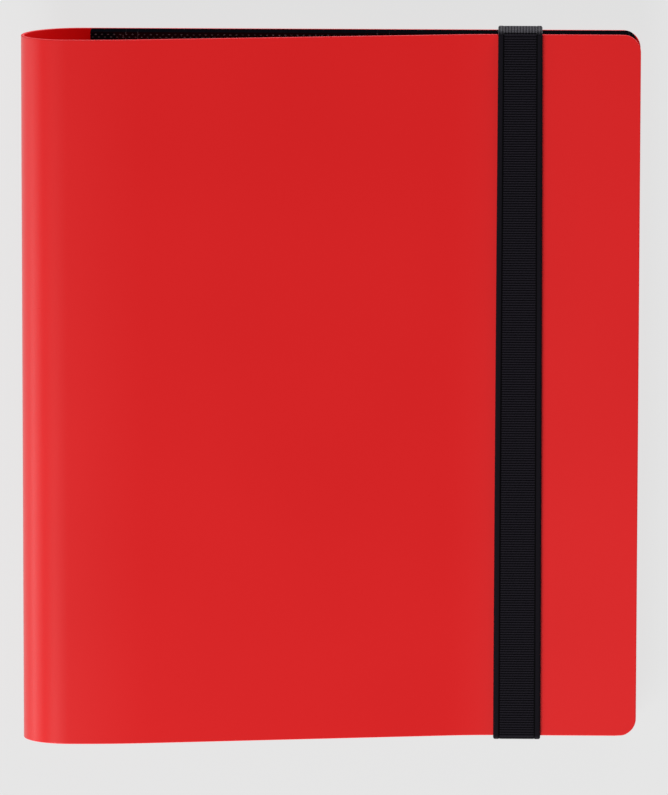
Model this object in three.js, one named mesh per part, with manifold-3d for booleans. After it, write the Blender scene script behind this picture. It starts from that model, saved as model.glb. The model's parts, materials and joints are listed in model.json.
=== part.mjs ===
// A slim side-loading card binder, closed, lying on its back cover.
// Millimetres, +Z up. +X runs from the spine to the fore edge, +Y towards the head.
// The origin is below the middle of the binder, on the surface that it lies on.
import * as THREE from 'three';
import { mergeVertices } from 'three/addons/utils/BufferGeometryUtils.js';
import Module from 'manifold-3d';

const wasm = await Module();
wasm.setup();

// Covers and spine: one polypropylene sheet, bent round without a crease.
const coverWidth = 172;
const coverHeight = 199;
const sheetThickness = 0.9;
const cornerRadius = 5;
const spineHeight = 24.8;
const spineTurnInBelow = 17;
const spineTurnInAbove = 13;
const spineWidestAt = 14.5;
const spineStripCount = 5;
const stripEndClearance = 0.3;

// The front cover slopes down from the spine and lies flat from the strap to the fore edge.
const shoulderLength = 22;
const flatFromForeEdge = 46;
const bendLength = 14;

// Leaves and the welded pack of their margins.
const leafCount = 20;
const leafThickness = 0.24;
const leafPitch = 0.37;
const leafEndInset = 0.1;
const leafCornerRadius = 4.5;
const leafInset = 1.2;
const marginFromSpineTurn = 2;
const marginWidth = 7;
const roomBelowLeaves = 0.8;
const roomAboveLeaves = 0.23;
const marginClearance = 0.2;
const hingeClearance = 0.5;
const hingeAboveMargin = 0.25;
const hingeAboveTopLeaf = 0.35;

// Elastic strap.
const strapWidth = 12.8;
const strapThickness = 0.9;
const strapFromForeEdge = 33.5;
const strapGap = 0.2;
const strapCornerRadius = 0.95;
const slotFromEdge = 9;
const slotWidth = 1.7;
const slotEndClearance = 0.6;
const anchorLength = 8;
const anchorThickness = 0.5;
const strapJointGap = 0.3;

// Levels and edges that follow from them.
const foreEdgeX = coverWidth / 2;
const spineX = -coverWidth / 2;
const backUnderside = strapThickness + strapGap;
const backInside = backUnderside + sheetThickness;
const marginX = spineX + spineTurnInBelow + marginFromSpineTurn;
const leafHingeX = marginX + marginWidth;
const lowestLeafMiddle = backInside + roomBelowLeaves + leafThickness / 2;
const topLeafMiddle = lowestLeafMiddle + (leafCount - 1) * leafPitch;
const topOfLeaves = topLeafMiddle + leafThickness / 2;
const frontMiddle = topOfLeaves + roomAboveLeaves + sheetThickness / 2;
const frontOutside = frontMiddle + sheetThickness / 2;
const leafHingeZ = topOfLeaves + hingeAboveTopLeaf;
const leafHeight = coverHeight - 2 * leafEndInset;
const strapX = foreEdgeX - strapFromForeEdge;
const slotY = coverHeight / 2 - slotFromEdge;

// ---------------------------------------------------------------- materials

function plastic(colour, roughness) {
  return new THREE.MeshStandardMaterial({ color: colour, roughness, metalness: 0 });
}

function redSheet() {
  return plastic(0xd2211f, 0.42);
}

function blackLeafFilm() {
  return plastic(0x0a0b0f, 0.3);
}

function blackElastic() {
  return plastic(0x151318, 0.85);
}

// ---------------------------------------------------------------- shape helpers

function roundedOutline(x0, x1, height, radius, roundLeft) {
  const y = height / 2;
  const left = roundLeft ? radius : 0;
  const shape = new THREE.Shape();
  shape.moveTo(x0 + left, -y);
  shape.lineTo(x1 - radius, -y);
  shape.absarc(x1 - radius, -y + radius, radius, -Math.PI / 2, 0, false);
  shape.lineTo(x1, y - radius);
  shape.absarc(x1 - radius, y - radius, radius, 0, Math.PI / 2, false);
  shape.lineTo(x0 + left, y);
  if (roundLeft) {
    shape.absarc(x0 + radius, y - radius, radius, Math.PI / 2, Math.PI, false);
    shape.lineTo(x0, -y + radius);
    shape.absarc(x0 + radius, -y + radius, radius, Math.PI, Math.PI * 1.5, false);
  } else {
    shape.lineTo(x0, -y);
  }
  return shape;
}

function flatPlate(shape, bottom, thickness) {
  const geometry = new THREE.ExtrudeGeometry(shape, {
    depth: thickness,
    bevelEnabled: false,
    curveSegments: 6,
  });
  geometry.translate(0, 0, bottom);
  return geometry;
}

// A closed band of even thickness along an open centre line.
function bandOutline(centreLine, thickness) {
  const half = thickness / 2;
  const side = (sign) =>
    centreLine.map((point, i) => {
      const before = centreLine[Math.max(i - 1, 0)];
      const after = centreLine[Math.min(i + 1, centreLine.length - 1)];
      const into = point.clone().sub(before);
      const out = after.clone().sub(point);
      if (i === 0) into.copy(out);
      if (i === centreLine.length - 1) out.copy(into);
      into.normalize();
      out.normalize();
      const along = into.clone().add(out).normalize();
      const reach = (sign * half) / Math.max(along.dot(into), 0.5);
      return new THREE.Vector2(point.x - along.y * reach, point.y + along.x * reach);
    });
  return new THREE.Shape([...side(-1), ...side(1).reverse()]);
}

// Extrudes an outline drawn in X and Z along Y, centred on Y = 0.
function alongY(shape, length) {
  const geometry = new THREE.ExtrudeGeometry(shape, {
    depth: length,
    bevelEnabled: false,
    curveSegments: 8,
  });
  geometry.rotateX(Math.PI / 2);
  geometry.translate(0, length / 2, 0);
  return geometry;
}

// Extrudes an outline drawn in Y and Z along X, centred on the strap.
function acrossStrap(shape, width) {
  const geometry = new THREE.ExtrudeGeometry(shape, {
    depth: width,
    bevelEnabled: false,
    curveSegments: 8,
  });
  geometry.rotateX(Math.PI / 2);
  geometry.rotateZ(Math.PI / 2);
  geometry.translate(strapX - width / 2, 0, 0);
  return geometry;
}

function asSolid(geometry) {
  const bare = geometry.index ? geometry.toNonIndexed() : geometry.clone();
  bare.deleteAttribute('normal');
  bare.deleteAttribute('uv');
  const merged = mergeVertices(bare, 1e-4);
  return new wasm.Manifold(
    new wasm.Mesh({
      numProp: 3,
      vertProperties: new Float32Array(merged.attributes.position.array),
      triVerts: new Uint32Array(merged.index.array),
    }),
  );
}

function asGeometry(solid) {
  const mesh = solid.getMesh();
  const geometry = new THREE.BufferGeometry();
  geometry.setAttribute('position', new THREE.BufferAttribute(mesh.vertProperties, 3));
  geometry.setIndex(new THREE.BufferAttribute(mesh.triVerts, 1));
  geometry.computeVertexNormals();
  return geometry;
}

function named(name, geometry, material) {
  const mesh = new THREE.Mesh(geometry, material);
  mesh.name = name;
  return mesh;
}

// ---------------------------------------------------------------- the bent sheet

// Corners of the spine's section, from the back cover's edge round to the front cover's.
// Its outline is two quarter ellipses, and the flat strips lie along tangents to it.
function spineCorners() {
  const outward = 1 / Math.cos(Math.PI / 2 / spineStripCount);
  const middle = sheetThickness / 2;
  const widestZ = backUnderside + spineWidestAt;
  const corners = [];
  for (let i = 0; i <= spineStripCount; i += 1) {
    const angle = (Math.PI * i) / spineStripCount;
    const below = angle < Math.PI / 2;
    const across = (below ? spineTurnInBelow : spineTurnInAbove) - middle;
    const up = (below ? spineWidestAt : spineHeight - spineWidestAt) - middle;
    const isEnd = i === 0 || i === spineStripCount;
    const grow = isEnd ? 1 : outward;
    const centreX = spineX + middle + across;
    corners.push(
      new THREE.Vector2(
        centreX - across * Math.sin(angle) * grow,
        widestZ - up * Math.cos(angle),
      ),
    );
  }
  return corners;
}

function frontCoverLine(start) {
  const bendX = foreEdgeX - flatFromForeEdge;
  const shoulder = new THREE.Vector2(start.x + shoulderLength / 2, start.y);
  const bend = new THREE.Vector2(bendX, frontMiddle);
  const slope = bend.clone().sub(shoulder).normalize();
  const shoulderEnd = shoulder.clone().addScaledVector(slope, shoulderLength / 2);
  const bendStart = bend.clone().addScaledVector(slope, -bendLength / 2);
  const bendEnd = new THREE.Vector2(bendX + bendLength / 2, frontMiddle);
  const shoulderCurve = new THREE.QuadraticBezierCurve(start, shoulder, shoulderEnd);
  const bendCurve = new THREE.QuadraticBezierCurve(bendStart, bend, bendEnd);
  return [
    ...shoulderCurve.getPoints(6),
    ...bendCurve.getPoints(6),
    new THREE.Vector2(foreEdgeX, frontMiddle),
  ];
}

function backCover(start) {
  const outline = roundedOutline(
    start.x + stripEndClearance,
    foreEdgeX,
    coverHeight,
    cornerRadius,
    false,
  );
  const halfSlot = strapWidth / 2 + slotEndClearance;
  for (const side of [-1, 1]) {
    const slot = new THREE.Path();
    slot.moveTo(strapX - halfSlot, side * slotY - slotWidth / 2);
    slot.lineTo(strapX + halfSlot, side * slotY - slotWidth / 2);
    slot.lineTo(strapX + halfSlot, side * slotY + slotWidth / 2);
    slot.lineTo(strapX - halfSlot, side * slotY + slotWidth / 2);
    slot.closePath();
    outline.holes.push(slot);
  }
  return named('back_cover', flatPlate(outline, backUnderside, sheetThickness), redSheet());
}

function frontCover(start) {
  const line = frontCoverLine(start);
  line[0] = new THREE.Vector2(start.x + stripEndClearance, start.y);
  const bent = asSolid(alongY(bandOutline(line, sheetThickness), coverHeight));
  const plan = roundedOutline(start.x, foreEdgeX, coverHeight, cornerRadius, false);
  const trim = asSolid(flatPlate(plan, 0, spineHeight * 2));
  return named('front_cover', asGeometry(bent.intersect(trim)), redSheet());
}

function spineStrip(number, from, to) {
  const along = to.clone().sub(from);
  const length = along.length() - 2 * stripEndClearance;
  const geometry = new THREE.BoxGeometry(length, coverHeight, sheetThickness);
  const strip = named(`spine_strip_${number}`, geometry, redSheet());
  strip.position.set((from.x + to.x) / 2, 0, (from.y + to.y) / 2);
  strip.rotation.y = -Math.atan2(along.y, along.x);
  return strip;
}

// ---------------------------------------------------------------- leaves

function boundMargin() {
  const top = leafHingeZ - hingeAboveMargin;
  const bottom = backInside + marginClearance;
  const outline = roundedOutline(marginX, leafHingeX, leafHeight, 1, true);
  return named('bound_margin', flatPlate(outline, bottom, top - bottom), blackLeafFilm());
}

function leaf(index) {
  const outline = roundedOutline(
    leafHingeX + hingeClearance,
    foreEdgeX - leafInset,
    leafHeight,
    leafCornerRadius,
    false,
  );
  const geometry = flatPlate(outline, -leafThickness / 2, leafThickness);
  const name = `leaf_${String(index + 1).padStart(2, '0')}`;
  const sheet = named(name, geometry, blackLeafFilm());
  sheet.position.z = lowestLeafMiddle + index * leafPitch;
  return sheet;
}

// ---------------------------------------------------------------- elastic strap

const strapTop = frontOutside + strapGap + strapThickness / 2;
const strapSide = coverHeight / 2 + strapGap + strapThickness / 2;
const wrapEndY = strapSide - strapCornerRadius - strapThickness / 2;

function strapFrontRun() {
  const length = 2 * (wrapEndY - strapJointGap / 2);
  const geometry = new THREE.BoxGeometry(strapWidth, length, strapThickness);
  const run = named('strap_front_run', geometry, blackElastic());
  run.position.set(strapX, 0, strapTop);
  return run;
}

// The turn over the head (side 1) or the tail (side -1) edge, from front to back.
function strapWrap(name, side) {
  const bottom = strapThickness / 2;
  const radius = strapCornerRadius;
  const path = new THREE.Path();
  path.moveTo(wrapEndY + strapJointGap / 2, strapTop);
  path.lineTo(strapSide - radius, strapTop);
  path.absarc(strapSide - radius, strapTop - radius, radius, Math.PI / 2, 0, true);
  path.lineTo(strapSide, bottom + radius);
  path.absarc(strapSide - radius, bottom + radius, radius, 0, -Math.PI / 2, true);
  path.lineTo(wrapEndY + strapJointGap / 2, bottom);
  const line = path.getPoints(5).map((p) => new THREE.Vector2(side * p.x, p.y));
  const distinct = line.filter((p, i) => i === 0 || p.distanceTo(line[i - 1]) > 1e-3);
  if (side < 0) distinct.reverse();
  const shape = bandOutline(distinct, strapThickness);
  return named(name, acrossStrap(shape, strapWidth), blackElastic());
}

// The fixed end: along the back, up through the slot, and folded flat on the inside.
function strapEnd(name, side) {
  const startY = wrapEndY - strapJointGap / 2;
  const insideZ = backInside + anchorThickness / 2 + strapGap / 2;
  const outsideRun = new THREE.BoxGeometry(
    strapWidth,
    startY - slotY + strapThickness / 2,
    strapThickness,
  );
  outsideRun.translate(
    strapX,
    side * (startY + slotY - strapThickness / 2) / 2,
    strapThickness / 2,
  );
  const riser = new THREE.BoxGeometry(strapWidth, strapThickness, insideZ);
  riser.translate(strapX, side * slotY, insideZ / 2);
  const anchor = new THREE.BoxGeometry(strapWidth, anchorLength, anchorThickness);
  anchor.translate(strapX, side * (slotY - anchorLength / 2 + strapThickness / 2), insideZ);
  const joined = asSolid(outsideRun).add(asSolid(riser)).add(asSolid(anchor));
  return named(name, asGeometry(joined), blackElastic());
}

// ---------------------------------------------------------------- the binder

const binder = new THREE.Group();
const corners = spineCorners();
binder.add(backCover(corners[0]));
for (let i = 0; i < spineStripCount; i += 1) {
  binder.add(spineStrip(i + 1, corners[i], corners[i + 1]));
}
binder.add(frontCover(corners[spineStripCount]));
binder.add(boundMargin());
for (let i = 0; i < leafCount; i += 1) {
  binder.add(leaf(i));
}
binder.add(strapFrontRun());
binder.add(strapWrap('strap_head_wrap', 1));
binder.add(strapWrap('strap_tail_wrap', -1));
binder.add(strapEnd('strap_head_end', 1));
binder.add(strapEnd('strap_tail_end', -1));

export default binder;
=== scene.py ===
"""A slim side-loading card binder, closed under its elastic strap, lying on its back cover."""
import json
import math

import bpy
import numpy as np
from mathutils import Matrix, Quaternion, Vector


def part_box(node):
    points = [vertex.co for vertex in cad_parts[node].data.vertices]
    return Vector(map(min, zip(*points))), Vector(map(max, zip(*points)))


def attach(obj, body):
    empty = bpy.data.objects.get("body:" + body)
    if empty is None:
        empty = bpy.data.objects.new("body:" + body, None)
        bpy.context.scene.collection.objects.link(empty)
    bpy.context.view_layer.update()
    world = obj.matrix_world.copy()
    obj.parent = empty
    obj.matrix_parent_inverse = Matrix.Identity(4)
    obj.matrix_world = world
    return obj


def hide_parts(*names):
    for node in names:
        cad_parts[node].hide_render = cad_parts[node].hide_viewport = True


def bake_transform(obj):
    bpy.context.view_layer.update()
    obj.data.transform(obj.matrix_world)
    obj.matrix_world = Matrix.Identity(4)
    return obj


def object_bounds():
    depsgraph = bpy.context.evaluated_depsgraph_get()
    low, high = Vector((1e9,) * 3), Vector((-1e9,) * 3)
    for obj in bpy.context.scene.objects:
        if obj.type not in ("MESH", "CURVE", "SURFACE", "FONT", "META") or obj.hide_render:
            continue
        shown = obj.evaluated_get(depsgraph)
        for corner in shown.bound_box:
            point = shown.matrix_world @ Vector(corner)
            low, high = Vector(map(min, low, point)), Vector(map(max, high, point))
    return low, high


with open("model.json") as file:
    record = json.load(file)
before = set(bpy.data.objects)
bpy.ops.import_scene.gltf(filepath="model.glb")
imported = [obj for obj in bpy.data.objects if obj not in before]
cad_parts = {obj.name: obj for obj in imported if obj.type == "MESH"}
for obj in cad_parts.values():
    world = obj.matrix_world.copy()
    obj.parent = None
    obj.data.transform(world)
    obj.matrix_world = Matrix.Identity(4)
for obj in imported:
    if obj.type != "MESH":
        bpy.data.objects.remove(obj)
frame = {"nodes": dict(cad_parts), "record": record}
CAD_BOX = [list(corner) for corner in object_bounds()]

MM = 0.001
SPINE_STRIPS = 5
BENDS = [f"spine_bend_{i}" for i in range(1, SPINE_STRIPS + 1)] + ["cover_open"]


def node_box(node):
    """Lowest and highest corner of a CAD node, in millimetres."""
    low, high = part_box(node)
    return np.array(low) / MM, np.array(high) / MM


def joint_place(name):
    """X and Z of a hinge's axis, in millimetres."""
    joint = next(j for j in frame["record"]["behaviour"]["joints"] if j["name"] == name)
    return np.array([joint["pos_m"][0], joint["pos_m"][2]]) / MM


# ------------------------------------------------------------------ sizes, from the frame
BACK_LOW, BACK_HIGH = node_box("back_cover")
SPINE_LOW, _ = node_box("spine_strip_3")
MARGIN_LOW, _ = node_box("bound_margin")
RUN_LOW, RUN_HIGH = node_box("strap_front_run")
WRAP_LOW, WRAP_HIGH = node_box("strap_head_wrap")
_, END_HIGH = node_box("strap_head_end")
LEAVES = sorted(n for n in frame["nodes"] if n.startswith("leaf_"))

SHEET = BACK_HIGH[2] - BACK_LOW[2]
HALF_SHEET = SHEET / 2
HEIGHT = BACK_HIGH[1] - BACK_LOW[1]
FORE_X = BACK_HIGH[0]
SPINE_X = SPINE_LOW[0]
BACK_Z = (BACK_HIGH[2] + BACK_LOW[2]) / 2
FRONT_Z = joint_place(BENDS[-1])[1]
STRAP_X = (RUN_LOW[0] + RUN_HIGH[0]) / 2
STRAP_WIDTH = RUN_HIGH[0] - RUN_LOW[0]
STRAP_THICK = RUN_HIGH[2] - RUN_LOW[2]
# The front cover lies a little under the strap's front run.
STRAP_GAP = 0.2
FORE_Z = RUN_LOW[2] - STRAP_GAP - HALF_SHEET

# The bent sheet, in millimetres.
CORNER_RADIUS = 5.0
EDGE_ROUND = 0.14
SPINE_WIDEST_RISE = 14.5
SPINE_WIDEST_Z = BACK_LOW[2] + SPINE_WIDEST_RISE
SHOULDER_LENGTH = 22.0
FLAT_FROM_FORE_EDGE = 46.0
BEND_LENGTH = 14.0
JOIN_STEP, CORNER_STEP, CURVE_STEP, FLAT_STEP = 0.12, 0.3, 0.4, 2.0

# The two slots of the back cover, in millimetres.
SLOT_FROM_END = 9.0
SLOT_Y = HEIGHT / 2 - SLOT_FROM_END
SLOT_SIDE_PLAY = 0.6
SLOT_HALF_GAP = 0.85

# The leaves, in millimetres.
LEAF_OVERHANG = 0.2
LEAF_CORNER = 3.0
LEAF_ROOT = 5.0
LEAF_FLAT_FROM = 9.0

# The leaves' welds and pocket mouths, in centimetres of flat sheet.
WELD_PITCH = 0.17
WELD_GAP = 0.075
WELD_FROM_END = 0.085
WELD_FROM_SIDE = 0.25
MOUTH_FROM_SPINE_SIDE = 0.62
MOUTH_FROM_MIDDLE = 0.37

# The elastic strap, in millimetres.
RIB_PITCH = 0.70
RIB_DEPTH = 0.07
SELVEDGE = 1.60
STRAP_CORNER = 0.95
TIE_CORNER = 0.5
TIE_INSIDE = 7.5
TIE_UNDER_END = 0.25
# Painted sheen on the strap's wraps: stronger at the head, where the light comes from, and faint at
# the tail.
TAIL_FOLD_PAINTED_SHEEN, HEAD_FOLD_PAINTED_SHEEN = 0.04, 0.15

# How strongly the sheet's inner face glows with the light that comes through it.
INSIDE_GLOW = 0.18


# ------------------------------------------------------------------ node helpers
class Graph:
    """A material's node tree, with short ways to add and join nodes."""

    def __init__(self, name):
        self.material = bpy.data.materials.new(name)
        self.material.use_nodes = True
        self.tree = self.material.node_tree
        self.shader = self.tree.nodes["Principled BSDF"]

    def node(self, kind, **settings):
        made = self.tree.nodes.new(kind)
        for key, value in settings.items():
            setattr(made, key, value)
        return made

    def link(self, source, target):
        self.tree.links.new(source, target)

    def put(self, socket, value):
        if isinstance(value, bpy.types.NodeSocket):
            self.link(value, socket)
        else:
            socket.default_value = value

    def math(self, operation, a, b=0.0, c=0.0):
        made = self.node("ShaderNodeMath", operation=operation)
        for socket, value in zip(made.inputs, (a, b, c)):
            self.put(socket, value)
        return made.outputs[0]

    def mix(self, factor, a, b):
        made = self.node("ShaderNodeMix", data_type="RGBA")
        self.put(made.inputs["Factor"], factor)
        self.put(made.inputs["A"], a)
        self.put(made.inputs["B"], b)
        return made.outputs["Result"]

    def uv(self):
        return self.node("ShaderNodeUVMap", uv_map="Sheet").outputs["UV"]

    def scaled(self, vector, scale):
        made = self.node("ShaderNodeMapping")
        self.link(vector, made.inputs["Vector"])
        made.inputs["Scale"].default_value = scale
        return made.outputs["Vector"]

    def noise(self, vector, scale, detail=3.0, roughness=0.5):
        made = self.node("ShaderNodeTexNoise")
        self.link(vector, made.inputs["Vector"])
        made.inputs["Scale"].default_value = scale
        made.inputs["Detail"].default_value = detail
        made.inputs["Roughness"].default_value = roughness
        return made.outputs["Fac"]

    def spread(self, value, low, high, to_low, to_high):
        made = self.node("ShaderNodeMapRange")
        self.link(value, made.inputs["Value"])
        for name, number in (
            ("From Min", low), ("From Max", high), ("To Min", to_low), ("To Max", to_high),
        ):
            made.inputs[name].default_value = number
        return made.outputs["Result"]

    def bump(self, height, distance, strength=1.0, below=None):
        made = self.node("ShaderNodeBump")
        made.inputs["Strength"].default_value = strength
        made.inputs["Distance"].default_value = distance
        self.link(height, made.inputs["Height"])
        if below is not None:
            self.link(below, made.inputs["Normal"])
        return made.outputs["Normal"]

    def set(self, **values):
        for key, value in values.items():
            self.put(self.shader.inputs[key.replace("_", " ")], value)


# ------------------------------------------------------------------ materials
# UVs are in centimetres of flat sheet, so a scale of 10 is one cell to the millimetre.
def red_sheet_material(name, red, specular, glow):
    """Matt-embossed polypropylene: a fine pebble, faint flow marks and a few hairline rubs.

    glow stands for the red light that comes through the sheet on to its inner face.
    """
    g = Graph(name)
    uv = g.uv()
    cloud = g.noise(uv, 0.18, 1.0)
    pebble = g.noise(uv, 42.0, 2.0, 0.6)
    fleck = g.noise(g.scaled(uv, (0.7, 14.0, 1.0)), 3.0, 2.0)
    body = g.mix(
        g.spread(cloud, 0.3, 0.7, 0.0, 1.0),
        (red - 0.01, 0.0072, 0.0080, 1.0),
        (red + 0.01, 0.0086, 0.0094, 1.0),
    )
    colour = g.mix(g.spread(pebble, 0.3, 0.7, 0.0, 0.10), body, (red + 0.04, 0.022, 0.022, 1.0))
    rub = g.spread(fleck, 0.68, 0.80, 0.0, 0.05)
    roughness = g.math("SUBTRACT", g.spread(pebble, 0.3, 0.7, 0.29, 0.36), rub)
    normal = g.bump(pebble, 0.000012, 0.55)
    g.set(Base_Color=colour, Roughness=roughness, Normal=normal)
    g.set(IOR=1.49, Specular_IOR_Level=specular)
    if glow > 0:
        g.set(Emission_Color=(1.0, 0.0, 0.0, 1.0), Emission_Strength=glow)
    return g.material


def cut_edge_material():
    """The sheet's cut edge: paler where light gathers in the plastic, with fine knife lines."""
    g = Graph("red_cut_edge")
    uv = g.uv()
    lines = g.noise(g.scaled(uv, (3.0, 60.0, 1.0)), 4.0, 2.0)
    colour = g.mix(
        g.spread(lines, 0.3, 0.7, 0.0, 1.0),
        (0.76, 0.024, 0.030, 1.0),
        (0.86, 0.060, 0.070, 1.0),
    )
    g.set(Base_Color=colour, Roughness=0.5, Normal=g.bump(lines, 0.00002, 0.5))
    g.set(Specular_IOR_Level=0.12)
    return g.material


def weld_dots(g, along, across, pitch, gap):
    """Two staggered rows of small weld dots along a line. along and across are in centimetres. The
    mask sets how pale each dot is coloured: partly the weld mark, partly painted glint that differs
    from dot to dot.
    """
    row = g.math("ABSOLUTE", g.math("SUBTRACT", g.math("ABSOLUTE", across), gap / 2))
    second = g.math("MULTIPLY", g.math("GREATER_THAN", across, 0.0), pitch / 2)
    step = g.math("MULTIPLY", g.math("PINGPONG", g.math("ADD", along, second), pitch / 2), 0.6)
    reach = g.math(
        "SQRT", g.math("ADD", g.math("POWER", row, 2.0), g.math("POWER", step, 2.0))
    )
    place = g.node("ShaderNodeCombineXYZ")
    g.link(along, place.inputs["X"])
    g.link(across, place.inputs["Y"])
    # Painted glint: some dots are coloured brighter than others.
    painted_glint_share = g.spread(g.noise(place.outputs["Vector"], 5.0, 1.0), 0.35, 0.65, 0.25, 1.0)
    return g.math("MULTIPLY", g.spread(reach, 0.008, 0.024, 1.0, 0.0), painted_glint_share)


def black_leaf_material(width, height, first_x):
    """Black page film under clear pockets: weld dots round every pocket, soft ripples between. The
    dots' pale grey is partly the weld mark and partly painted glint.
    """
    g = Graph("black_leaf")
    parts = g.node("ShaderNodeSeparateXYZ")
    uv = g.uv()
    g.link(uv, parts.inputs["Vector"])
    u, v = parts.outputs["X"], parts.outputs["Y"]
    dots = None
    middle = (first_x + width / 2) / 10
    spine_side, fore_side = first_x / 10, (first_x + width) / 10
    for line in (spine_side + WELD_FROM_SIDE, middle, fore_side - WELD_FROM_SIDE):
        found = weld_dots(g, v, g.math("SUBTRACT", u, line), WELD_PITCH, WELD_GAP)
        dots = found if dots is None else g.math("MAXIMUM", dots, found)
    edge = height / 20 - WELD_FROM_END
    for line in (-edge, 0.0, edge):
        found = weld_dots(g, u, g.math("SUBTRACT", v, line), WELD_PITCH, WELD_GAP)
        dots = g.math("MAXIMUM", dots, found)
    ripple = g.noise(uv, 0.45, 1.0)
    grain = g.noise(uv, 30.0, 2.0)
    # Weld dots in pale grey: partly the weld mark, partly painted glint.
    colour = g.mix(
        g.math("MULTIPLY", dots, 0.85), (0.0022, 0.0028, 0.0046, 1.0), (0.20, 0.21, 0.23, 1.0)
    )
    roughness = g.math("ADD", g.spread(grain, 0.3, 0.7, 0.17, 0.24), g.math("MULTIPLY", dots, 0.2))
    mouths = None
    for line in (spine_side + MOUTH_FROM_SPINE_SIDE, middle + MOUTH_FROM_MIDDLE):
        slit = g.spread(g.math("ABSOLUTE", g.math("SUBTRACT", u, line)), 0.006, 0.014, 1.0, 0.0)
        mouths = slit if mouths is None else g.math("MAXIMUM", mouths, slit)
    colour = g.mix(g.math("MULTIPLY", mouths, 0.5), colour, (0.12, 0.125, 0.14, 1.0))
    soft = g.bump(ripple, 0.0006, 0.35)
    normal = g.bump(g.math("MULTIPLY", dots, -1.0), 0.00006, 0.8, soft)
    g.set(Base_Color=colour, Roughness=roughness, Normal=normal)
    g.set(IOR=1.48, Specular_IOR_Level=0.16)
    return g.material


def leaf_edge_material():
    """The leaves' cut ends: matt black, with faint saw lines."""
    g = Graph("black_leaf_edge")
    grain = g.noise(g.scaled(g.uv(), (9.0, 30.0, 1.0)), 3.0, 2.0)
    colour = g.mix(grain, (0.0012, 0.0016, 0.0030, 1.0), (0.0050, 0.0056, 0.0080, 1.0))
    g.set(Base_Color=colour, Roughness=0.7, Specular_IOR_Level=0.0)
    return g.material


def margin_material(height):
    """The leaf margins welded into one block: faint layers, and the head and tail weld dots, whose
    pale grey is partly the weld mark and partly painted glint.
    """
    g = Graph("bound_margin")
    place = g.node("ShaderNodeTexCoord").outputs["Object"]
    layers = g.noise(g.scaled(place, (30.0, 30.0, 4200.0)), 1.0, 1.0)
    parts = g.node("ShaderNodeSeparateXYZ")
    g.link(place, parts.inputs["Vector"])
    along = g.math("MULTIPLY", parts.outputs["X"], 100.0)
    across = g.math("MULTIPLY", parts.outputs["Y"], 100.0)
    edge = height / 20 - WELD_FROM_END
    dots = g.math(
        "MAXIMUM",
        weld_dots(g, along, g.math("SUBTRACT", across, edge), WELD_PITCH, WELD_GAP),
        weld_dots(g, along, g.math("ADD", across, edge), WELD_PITCH, WELD_GAP),
    )
    colour = g.mix(layers, (0.0012, 0.0016, 0.0028, 1.0), (0.0050, 0.0058, 0.0082, 1.0))
    # Weld dots in pale grey: partly the weld mark, partly painted glint.
    colour = g.mix(g.math("MULTIPLY", dots, 0.8), colour, (0.20, 0.21, 0.23, 1.0))
    g.set(Base_Color=colour, Roughness=0.6, Normal=g.bump(layers, 0.00008, 0.6))
    g.set(Specular_IOR_Level=0.02)
    return g.material


def elastic_material(name, painted_sheen_folds):
    """Black woven elastic: yarns across every rib, grooved selvedges and a little lint, with the rib
    crests painted lighter and the rib and selvedge grooves painted darker as painted shade.

    The last argument lists (start, end, strength): spans along the band, in centimetres, where the
    wraps get a painted sheen, with paler yarns standing in for the light that catches the folds.
    """
    g = Graph(name)
    uv = g.uv()
    parts = g.node("ShaderNodeSeparateXYZ")
    g.link(uv, parts.inputs["Vector"])
    u, v = parts.outputs["X"], parts.outputs["Y"]
    rib = g.math("COSINE", g.math("MULTIPLY", v, 2 * math.pi / (RIB_PITCH / 10)))
    slant = g.math("ADD", g.math("MULTIPLY", u, 2 * math.pi / 0.042), g.math("MULTIPLY", v, 30.0))
    yarn = g.math("SINE", slant)
    from_edge = g.math("PINGPONG", u, STRAP_WIDTH / 20)
    inner = g.spread(from_edge, SELVEDGE / 10, SELVEDGE / 10 + 0.02, 0.0, 1.0)
    lint = g.noise(uv, 55.0, 3.0, 0.7)
    ribbed = g.math("MULTIPLY", g.math("ADD", rib, g.math("MULTIPLY", yarn, 0.35)), inner)
    height = g.math("ADD", g.math("MULTIPLY", ribbed, 0.3), g.math("MULTIPLY", lint, 0.6))
    # Colour follows the rib height. This is painted shading, lighter on the crests and darker in the
    # grooves, with real lint mixed in.
    painted_rib_shade_and_lint = g.spread(height, 0.0, 0.65, 0.0, 1.0)
    colour = g.mix(painted_rib_shade_and_lint, (0.0004, 0.0003, 0.0008, 1.0), (0.0165, 0.0142, 0.0200, 1.0))
    # Painted shade in the selvedge grooves: they are coloured near black.
    off_groove = g.math("ABSOLUTE", g.math("SUBTRACT", from_edge, SELVEDGE / 10))
    groove = g.spread(off_groove, 0.010, 0.030, 0.9, 0.0)
    colour = g.mix(groove, colour, (0.0002, 0.0002, 0.0003, 1.0))
    # Painted sheen: the wraps' yarns are coloured paler where the light catches the folds.
    for start, end, pale in painted_sheen_folds:
        rise = g.spread(v, start - 0.04, start + 0.04, 0.0, 1.0)
        fall = g.spread(v, end - 0.04, end + 0.04, 1.0, 0.0)
        cords = g.math("COSINE", g.math("MULTIPLY", u, 2 * math.pi / 0.085))
        shown = g.spread(cords, -1.0, 1.0, 0.15, 1.0)
        painted_sheen_mask = g.math("MULTIPLY", g.math("MULTIPLY", rise, fall), g.math("MULTIPLY", painted_rib_shade_and_lint, shown))
        colour = g.mix(painted_sheen_mask, colour, (pale, pale * 0.98, pale * 1.10, 1.0))
    g.set(Base_Color=colour, Roughness=g.spread(lint, 0.3, 0.7, 0.62, 0.80))
    g.set(Normal=g.bump(height, 0.00005, 0.9), Specular_IOR_Level=0.03)
    g.set(Sheen_Weight=0.04, Sheen_Roughness=0.3)
    return g.material


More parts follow.
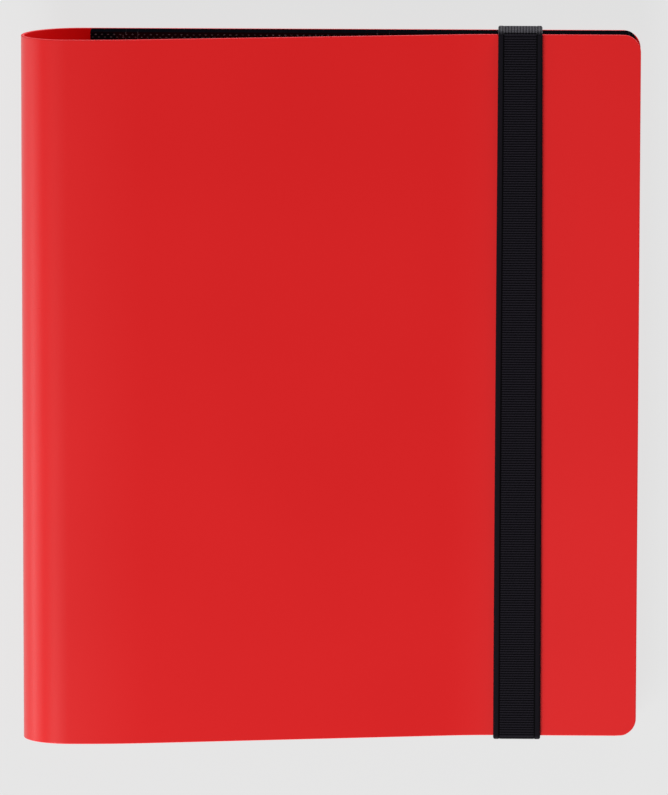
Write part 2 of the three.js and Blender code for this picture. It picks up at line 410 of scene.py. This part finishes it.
def floor_material():
    """A pale floor that glows, so that it looks flat under uneven light."""
    g = Graph("pale_floor")
    place = g.node("ShaderNodeTexCoord").outputs["Object"]
    grain = g.noise(place, 40.0, 2.0)
    colour = g.mix(grain, (0.055, 0.055, 0.055, 1.0), (0.060, 0.060, 0.060, 1.0))
    g.set(Base_Color=colour, Roughness=0.9, Specular_IOR_Level=0.0)
    g.set(Emission_Color=(0.787, 0.787, 0.787, 1.0), Emission_Strength=0.935)
    return g.material


# ------------------------------------------------------------------ mesh helpers
def mesh_piece(name, points, faces, uvs, marks, materials):
    """A mesh from points in millimetres. uvs gives each face its corners' UVs, marks its material."""
    mesh = bpy.data.meshes.new(name)
    mesh.from_pydata([tuple(p * MM) for p in points], [], faces)
    layer = mesh.uv_layers.new(name="Sheet")
    layer.data.foreach_set("uv", np.concatenate([np.array(c).ravel() for c in uvs]))
    for material in materials:
        mesh.materials.append(material)
    mesh.polygons.foreach_set("material_index", np.array(marks, dtype=np.int32))
    mesh.polygons.foreach_set("use_smooth", np.ones(len(faces), dtype=bool))
    mesh.update()
    piece = bpy.data.objects.new(name, mesh)
    bpy.context.scene.collection.objects.link(piece)
    return piece


def loft(name, rings, ring_uvs, ring_marks, materials, cap_marks=(0, 0)):
    """Joins closed rings of points into one solid with flat ends."""
    count = len(rings[0])
    points = np.concatenate(rings)
    faces, uvs, marks = [], [], []
    for r in range(len(rings) - 1):
        for k in range(count):
            n = (k + 1) % count
            faces.append((r * count + k, r * count + n, (r + 1) * count + n, (r + 1) * count + k))
            uvs.append((ring_uvs[r][k], ring_uvs[r][n], ring_uvs[r + 1][n], ring_uvs[r + 1][k]))
            marks.append(ring_marks[r][k])
    last = (len(rings) - 1) * count
    faces.append(tuple(range(count - 1, -1, -1)))
    uvs.append([ring_uvs[0][k] for k in range(count - 1, -1, -1)])
    faces.append(tuple(range(last, last + count)))
    uvs.append([ring_uvs[-1][k] for k in range(count)])
    marks += list(cap_marks)
    return mesh_piece(name, points, faces, uvs, marks, materials)


def sharpen(piece, angle=32.0):
    """Keeps real corners crisp and the rest smooth."""
    piece.data.set_sharp_from_angle(angle=math.radians(angle))
    return piece


# ------------------------------------------------------------------ the bent cover sheet
def ellipse_quarter(centre, across, up, start, steps):
    turn = np.linspace(start, start + math.pi / 2, steps, endpoint=False)
    return np.stack([centre[0] - across * np.sin(turn), centre[1] - up * np.cos(turn)], 1)


def bezier(a, b, c, steps):
    t = np.linspace(0, 1, steps, endpoint=False)[:, None]
    return (1 - t) ** 2 * a + 2 * t * (1 - t) * b + t**2 * c


def cover_line():
    """The sheet's middle line in X and Z, from the back cover's fore edge to the front cover's."""
    first, last = joint_place(BENDS[0]), joint_place(BENDS[-1])
    left = SPINE_X + HALF_SHEET
    below = ellipse_quarter(
        (first[0], SPINE_WIDEST_Z), first[0] - left, SPINE_WIDEST_Z - BACK_Z, 0.0, 90
    )
    above = ellipse_quarter(
        (last[0], SPINE_WIDEST_Z), last[0] - left, FRONT_Z - SPINE_WIDEST_Z, math.pi / 2, 90
    )
    bend = np.array([FORE_X - FLAT_FROM_FORE_EDGE, FORE_Z])
    shoulder = np.array([last[0] + SHOULDER_LENGTH / 2, FRONT_Z])
    slope = (bend - shoulder) / np.linalg.norm(bend - shoulder)
    bend_start = bend - slope * BEND_LENGTH / 2
    bend_end = np.array([bend[0] + BEND_LENGTH / 2, FORE_Z])
    parts = [
        np.array([[FORE_X, BACK_Z]]),
        below,
        above,
        bezier(last, shoulder, shoulder + slope * SHOULDER_LENGTH / 2, 50),
        bezier(bend_start, bend, bend_end, 40),
        np.array([bend_end, [FORE_X, FORE_Z]]),
    ]
    return np.concatenate(parts)


LINE = cover_line()
LINE_AT = np.concatenate([[0.0], np.cumsum(np.linalg.norm(np.diff(LINE, axis=0), axis=1))])
LINE_LENGTH = LINE_AT[-1]


def on_line(s):
    return np.stack([np.interp(s, LINE_AT, LINE[:, k]) for k in (0, 1)], -1)


def heading(s):
    step = 0.25
    ahead = on_line(np.minimum(s + step, LINE_LENGTH))
    behind = on_line(np.maximum(s - step, 0.0))
    along = ahead - behind
    return along / np.linalg.norm(along, axis=-1, keepdims=True)


def nearest_s(point):
    fine = np.linspace(0, LINE_LENGTH, 6000)
    return fine[np.argmin(np.linalg.norm(on_line(fine) - point, axis=1))]


def half_height(s):
    """Half the sheet's height at s: less inside the rounded fore corners."""
    into = max(CORNER_RADIUS - s, CORNER_RADIUS - (LINE_LENGTH - s), 0.0)
    into = min(into, CORNER_RADIUS)
    return HEIGHT / 2 - (CORNER_RADIUS - math.sqrt(CORNER_RADIUS**2 - into**2))


def sheet_profile(rows=24):
    """The sheet's cross-section as (share of half height, pull-in, level), once round."""
    turns = np.linspace(0, math.pi / 2, 4)
    rim = [0.985, 0.994, 0.998, 1.0]
    flat = np.concatenate([-np.array(rim[::-1]), np.linspace(-0.97, 0.97, rows + 1), rim])
    edge = [
        (EDGE_ROUND * (1 - math.sin(a)), HALF_SHEET - EDGE_ROUND * (1 - math.cos(a)))
        for a in turns
    ]
    profile = [(v, EDGE_ROUND, HALF_SHEET) for v in flat]
    profile += [(1.0, pull, level) for pull, level in edge[1:]]
    profile += [(1.0, pull, -level) for pull, level in reversed(edge[1:])]
    profile += [(v, EDGE_ROUND, -HALF_SHEET) for v in flat[::-1]]
    profile += [(-1.0, pull, -level) for pull, level in edge[1:]]
    profile += [(-1.0, pull, level) for pull, level in reversed(edge[1:])]
    return profile


def face_marks(profile):
    """The material of each strip round the section: 0 outer face, 1 edge, 2 inner face."""
    marks = []
    for here, ahead in zip(profile, profile[1:] + profile[:1]):
        face = here[2] == ahead[2] and abs(here[2]) == HALF_SHEET
        marks.append(1 if not face else 2 if here[2] > 0 else 0)
    return marks


def sheet_stations(start, end):
    """Where the sheet is cut into rings: closer at its curves, its corners and its joins."""
    stations = [start, end]
    spine_from, spine_to = nearest_s(joint_place(BENDS[0])), nearest_s(joint_place(BENDS[-1]))
    s = start
    while s < end:
        curved = spine_from - 6 < s < spine_to + 30
        corner = s < CORNER_RADIUS or s > LINE_LENGTH - CORNER_RADIUS
        join = min(s - start, end - s) < 0.8 and curved
        s += JOIN_STEP if join else CORNER_STEP if corner else CURVE_STEP if curved else FLAT_STEP
        if s < end:
            stations.append(s)
    for rim in (0.0, LINE_LENGTH):
        if start <= rim <= end:
            inward = 1 if rim == 0.0 else -1
            stations += [rim + inward * EDGE_ROUND * share for share in (0.15, 0.5, 1.0)]
    return np.array(sorted(set(np.round(stations, 4))))


def sheet_piece(name, start, end, materials):
    profile = sheet_profile()
    rings, uvs = [], []
    for s in sheet_stations(start, end):
        middle, along = on_line(s), heading(s)
        inward = np.array([along[1], -along[0]])
        reach = half_height(s)
        rim = min(s, LINE_LENGTH - s)
        thin = EDGE_ROUND - math.sqrt(max(EDGE_ROUND**2 - max(EDGE_ROUND - rim, 0.0) ** 2, 0.0))
        ring, ring_uv = [], []
        for share, pull, level in profile:
            y = share * (reach - pull)
            kept = math.copysign(max(abs(level) - thin, 0.0), level)
            spot = middle + inward * kept
            ring.append((spot[0], y, spot[1]))
            ring_uv.append((s / 10, y / 10))
        rings.append(np.array(ring))
        uvs.append(ring_uv)
    marks = [face_marks(profile)] * len(rings)
    return sharpen(loft(name, rings, uvs, marks, materials, cap_marks=(1, 1)), 50.0)


def spine_cuts():
    """Where the drawn sheet is divided: half way along each CAD strip."""
    at = [nearest_s(joint_place(name)) for name in BENDS]
    cuts = [(a + b) / 2 for a, b in zip(at, at[1:])]
    return [at[0] - (cuts[0] - at[0])] + cuts + [at[-1] + (at[-1] - cuts[-1])]


def cut_box(piece, low, high):
    """Takes a box-shaped slot out of a piece."""
    corners = [
        (x, y, z) for x in (low[0], high[0]) for y in (low[1], high[1]) for z in (low[2], high[2])
    ]
    faces = [(0, 1, 3, 2), (4, 6, 7, 5), (0, 4, 5, 1), (2, 3, 7, 6), (0, 2, 6, 4), (1, 5, 7, 3)]
    mesh = bpy.data.meshes.new("slot_tool")
    mesh.from_pydata([tuple(c * MM for c in corner) for corner in corners], [], faces)
    tool = bpy.data.objects.new("slot_tool", mesh)
    bpy.context.scene.collection.objects.link(tool)
    cut = piece.modifiers.new("slot", "BOOLEAN")
    cut.operation, cut.object, cut.solver = "DIFFERENCE", tool, "EXACT"
    bpy.context.view_layer.update()
    evaluated = piece.evaluated_get(bpy.context.evaluated_depsgraph_get())
    shaped = bpy.data.meshes.new_from_object(evaluated)
    piece.modifiers.remove(cut)
    piece.data = shaped
    bpy.data.objects.remove(tool)


def make_cover():
    materials = [
        red_sheet_material("red_sheet", 0.76, 0.68, 0.0),
        cut_edge_material(),
        red_sheet_material("red_sheet_inside", 0.50, 0.15, INSIDE_GLOW),
    ]
    cuts = spine_cuts()
    back = sheet_piece("back_cover_sheet", 0.0, cuts[0], materials)
    slot_half = STRAP_WIDTH / 2 + SLOT_SIDE_PLAY
    for side in (-1, 1):
        cut_box(
            back,
            (STRAP_X - slot_half, side * SLOT_Y - SLOT_HALF_GAP, BACK_LOW[2] - 1),
            (STRAP_X + slot_half, side * SLOT_Y + SLOT_HALF_GAP, BACK_HIGH[2] + 1),
        )
    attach(back, "back")
    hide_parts("back_cover")
    for i in range(SPINE_STRIPS + 1):
        bend = sheet_piece(f"spine_sheet_{i + 1}", cuts[i], cuts[i + 1], materials)
        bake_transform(bend)
        if i < SPINE_STRIPS:
            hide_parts(f"spine_strip_{i + 1}")
    front = sheet_piece("front_cover_sheet", cuts[-1], LINE_LENGTH, materials)
    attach(front, "front")
    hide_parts("front_cover")


# ------------------------------------------------------------------ leaves
def leaf_rows(x0, hinge, x1, radius):
    """X of each row across a leaf, closer where it bends over the margin and at its corners."""
    rows = [x0, hinge - 1.0]
    rows += list(np.linspace(hinge, hinge + LEAF_ROOT, 21))
    rows += list(np.linspace(hinge + LEAF_FLAT_FROM, x1 - radius, 24))
    rows += [x1 - radius + radius * math.sin(a) for a in np.linspace(0.2, math.pi / 2, 7)]
    return rows


def make_leaf(node, materials):
    low, high = node_box(node)
    hinge = joint_place(f"{node}_turn")[0]
    x0, radius = MARGIN_LOW[0], LEAF_CORNER
    half = (high[2] - low[2]) / 2
    middle = (high[2] + low[2]) / 2
    shares = np.linspace(-1, 1, 17)
    rings, uvs, marks = [], [], []
    for x in leaf_rows(x0, hinge, high[0], radius):
        into = max(x - (high[0] - radius), 0.0)
        reach = high[1] + LEAF_OVERHANG - (radius - math.sqrt(max(radius**2 - into**2, 0.0)))
        ring = [(x, v * reach, middle + half) for v in shares[::-1]]
        ring += [(x, v * reach, middle - half) for v in shares]
        rings.append(np.array(ring))
        uvs.append([(x / 10, y / 10) for _, y, _ in ring])
        marks.append([1 if k % len(shares) == len(shares) - 1 else 0 for k in range(len(ring))])
    piece = loft(f"{node}_film", rings, uvs, marks, materials, cap_marks=(1, 1))
    sharpen(piece, 40.0)
    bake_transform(piece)
    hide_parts(node)


def make_leaves():
    low, high = node_box(LEAVES[0])
    hinge = joint_place(f"{LEAVES[0]}_turn")[0]
    film = black_leaf_material(high[0] - hinge, high[1] - low[1], hinge)
    materials = [film, leaf_edge_material()]
    for node in LEAVES:
        make_leaf(node, materials)
    margin = frame["nodes"]["bound_margin"]
    margin.data.materials.clear()
    margin.data.materials.append(margin_material(high[1] - low[1]))


# ------------------------------------------------------------------ elastic strap
ACROSS = np.concatenate([
    np.linspace(0.0, SELVEDGE - 0.12, 7),
    np.linspace(SELVEDGE, STRAP_WIDTH - SELVEDGE, 22),
    np.linspace(STRAP_WIDTH - SELVEDGE + 0.12, STRAP_WIDTH, 7),
]) / STRAP_WIDTH


def band_level(share):
    """Height of the band's face over its middle, without ribs, as a share of half its thickness."""
    from_edge = min(share, 1 - share) * STRAP_WIDTH
    rounded = math.sqrt(max(1 - max(1 - from_edge / 0.45, 0.0) ** 2, 0.0))
    groove = 0.20 * math.exp(-((from_edge - SELVEDGE) / 0.13) ** 2)
    return max(rounded - groove, 0.0)


def band_width(y):
    """The band draws in a little towards the head, where it is stretched most."""
    share = (y + HEIGHT / 2) / HEIGHT
    return STRAP_WIDTH * (1.035 - 0.075 * np.clip(share, 0, 1) ** 1.6)


def band_rings(path, lengths, rest_y):
    """Rings round the band at each point of its path in Y and Z, ribbed across its middle zone."""
    rings, uvs, marks = [], [], []
    half = STRAP_THICK / 2
    ahead = np.roll(path, -1, axis=0)
    ahead[-1] = path[-1]
    behind = np.roll(path, 1, axis=0)
    behind[0] = path[0]
    along = ahead - behind
    along /= np.linalg.norm(along, axis=1, keepdims=True)
    for spot, way, at, y in zip(path, along, lengths, rest_y):
        outward = np.array([-way[1], way[0]])
        width = band_width(y)
        rib = math.cos(2 * math.pi * at / RIB_PITCH)
        ring, ring_uv = [], []
        for side, shares in ((1, ACROSS), (-1, ACROSS[::-1])):
            for share in shares:
                from_edge = min(share, 1 - share) * STRAP_WIDTH
                zone = min(max((from_edge - SELVEDGE) / 0.3, 0.0), 1.0)
                level = half * band_level(share) - RIB_DEPTH * zone * (0.5 - 0.5 * rib)
                level = max(level, 0.012)
                place = spot + outward * side * level
                x = STRAP_X + (share - 0.5) * width
                ring.append((x, place[0], place[1]))
                ring_uv.append((share * STRAP_WIDTH / 10, at / 10))
        rings.append(np.array(ring))
        uvs.append(ring_uv)
        marks.append([0] * len(ring))
    return rings, uvs, marks


def arc(centre, radius, start, end, steps):
    turn = np.linspace(start, end, steps)
    return np.stack([centre[0] + radius * np.cos(turn), centre[1] + radius * np.sin(turn)], 1)


def resample(path, step):
    at = np.concatenate([[0.0], np.cumsum(np.linalg.norm(np.diff(path, axis=0), axis=1))])
    places = np.linspace(0, at[-1], int(at[-1] / step) + 1)
    return np.stack([np.interp(places, at, path[:, k]) for k in (0, 1)], 1), places


def strap_loop():
    """The moving part of the band, from under the tail edge, over the front, to under the head."""
    top = (RUN_LOW[2] + RUN_HIGH[2]) / 2
    side = WRAP_HIGH[1] - STRAP_THICK / 2
    bottom = STRAP_THICK / 2
    end = WRAP_LOW[1]
    radius = STRAP_CORNER
    head = np.concatenate([
        [(0.0, top)],
        arc((side - radius, top - radius), radius, math.pi / 2, 0, 9),
        arc((side - radius, bottom + radius), radius, 0, -math.pi / 2, 9),
        [(end, bottom)],
    ])
    tail = (head * np.array([-1, 1]))[::-1]
    return np.concatenate([tail, head[1:]])


def make_strap():
    path, at = resample(strap_loop(), RIB_PITCH / 6)
    wrapped = at[np.abs(path[:, 0]) > WRAP_HIGH[1] - STRAP_THICK] / 10
    tail_fold = wrapped[wrapped < at[-1] / 20]
    head_fold = wrapped[wrapped > at[-1] / 20]
    # The wraps' spans, and how much painted sheen each one gets.
    painted_sheen_folds = [
        (tail_fold[0], tail_fold[-1], TAIL_FOLD_PAINTED_SHEEN),
        (head_fold[0], head_fold[-1], HEAD_FOLD_PAINTED_SHEEN),
    ]
    material = elastic_material("black_elastic", painted_sheen_folds)
    tie_material = elastic_material("black_elastic_tie", [])
    loop = loft("strap_band", *band_rings(path, at, path[:, 0]), [material])
    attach(sharpen(loop, 60.0), "strap")
    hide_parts("strap_front_run", "strap_head_wrap", "strap_tail_wrap")
    inside = END_HIGH[2] - TIE_UNDER_END
    bottom, radius = STRAP_THICK / 2, TIE_CORNER
    for name, node, side in (
        ("strap_head_tie", "strap_head_end", 1),
        ("strap_tail_tie", "strap_tail_end", -1),
    ):
        run = np.concatenate([
            [(WRAP_LOW[1], bottom)],
            arc((SLOT_Y + radius, bottom + radius), radius, -math.pi / 2, -math.pi, 7),
            arc((SLOT_Y - radius, inside - radius), radius, 0, math.pi / 2, 7),
            [(SLOT_Y - TIE_INSIDE, inside)],
        ]) * np.array([side, 1])
        if side < 0:
            run = run[::-1]
        path, at = resample(run, RIB_PITCH / 6)
        rest_y = np.full(len(path), side * HEIGHT / 2)
        tie = sharpen(loft(name, *band_rings(path, at, rest_y), [tie_material]), 60.0)
        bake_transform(tie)
        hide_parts(node)


# ------------------------------------------------------------------ stage
FLOOR_GAP = 0.0004
COVE = ((5.5, 0.0), (5.8, 0.04), (6.0, 0.16), (6.1, 0.9))
COVE_SIDES = 48
CAMERA_DISTANCE = 2.60
CAMERA_TILT = math.radians(10.38)
CAMERA_SWING = math.radians(1.04)
CAMERA_ROLL = math.radians(0.105)
CAMERA_TARGET = (0.00092, -0.00335, 0.010)
CAMERA_LENS = 420.9
# Name, place, aim and size in metres, power in watts, and whether mirror reflections show it.
LIGHTS = (
    ("key", (-0.75, -1.72, 1.42), (0, -0.02, 0), (1.8, 1.35), 75.5, True),
    ("spine", (-1.00, -0.26, 0.09), (-0.08, -0.05, 0.012), (0.28, 0.18), 0.30, True),
    ("spine_soft", (-1.05, -0.28, 0.34), (-0.08, -0.05, 0.012), (0.45, 0.36), 0.55, True),
    ("head", (0.50, 1.25, 0.20), (0, 0.05, 0), (1.0, 0.3), 12.0, False),
)


def make_camera():
    data = bpy.data.cameras.new("camera")
    data.lens = CAMERA_LENS
    data.sensor_width = 36.0
    data.clip_end = 20.0
    camera = bpy.data.objects.new("camera", data)
    bpy.context.scene.collection.objects.link(camera)
    away = (
        math.sin(CAMERA_SWING) * math.cos(CAMERA_TILT),
        math.sin(CAMERA_TILT),
        math.cos(CAMERA_TILT) * math.cos(CAMERA_SWING),
    )
    camera.location = [t + CAMERA_DISTANCE * a for t, a in zip(CAMERA_TARGET, away)]
    back = Vector(away)
    right = Vector((0.0, 1.0, 0.0)).cross(back).normalized()
    up = back.cross(right)
    level = Matrix((right, up, back)).transposed().to_quaternion()
    camera.rotation_mode = "QUATERNION"
    camera.rotation_quaternion = level @ Quaternion((0.0, 0.0, 1.0), CAMERA_ROLL)
    bpy.context.scene.camera = camera


def area_light(name, place, aim, size, power, mirrored):
    data = bpy.data.lights.new(name, "AREA")
    data.shape, data.size, data.size_y = "RECTANGLE", size[0], size[1]
    data.energy = power
    light = bpy.data.objects.new(name, data)
    bpy.context.scene.collection.objects.link(light)
    light.location = place
    light.visible_glossy = mirrored
    way = np.array(aim) - np.array(place)
    light.rotation_mode = "QUATERNION"
    light.rotation_quaternion = Vector(way).to_track_quat("-Z", "Y")


def make_stage():
    floor_z = CAD_BOX[0][2] - FLOOR_GAP
    points, faces = [], []
    for radius, rise in COVE:
        for turn in np.linspace(0, 2 * math.pi, COVE_SIDES, endpoint=False):
            points.append((radius * math.cos(turn), radius * math.sin(turn), floor_z + rise))
    faces.append(tuple(range(COVE_SIDES)))
    for ring in range(len(COVE) - 1):
        for k in range(COVE_SIDES):
            a, b = ring * COVE_SIDES + k, ring * COVE_SIDES + (k + 1) % COVE_SIDES
            faces.append((a, b, b + COVE_SIDES, a + COVE_SIDES))
    mesh = bpy.data.meshes.new("floor")
    mesh.from_pydata(points, [], faces)
    mesh.materials.append(floor_material())
    floor = bpy.data.objects.new("floor", mesh)
    bpy.context.scene.collection.objects.link(floor)
    world = bpy.data.worlds.new("studio")
    world.use_nodes = True
    background = world.node_tree.nodes["Background"]
    background.inputs["Color"].default_value = (0.96, 0.98, 1.0, 1.0)
    background.inputs["Strength"].default_value = 0.10
    bpy.context.scene.world = world
    for settings in LIGHTS:
        area_light(*settings)
    bpy.context.scene.view_settings.view_transform = "Standard"


make_camera()
make_stage()
make_cover()
make_leaves()
make_strap()
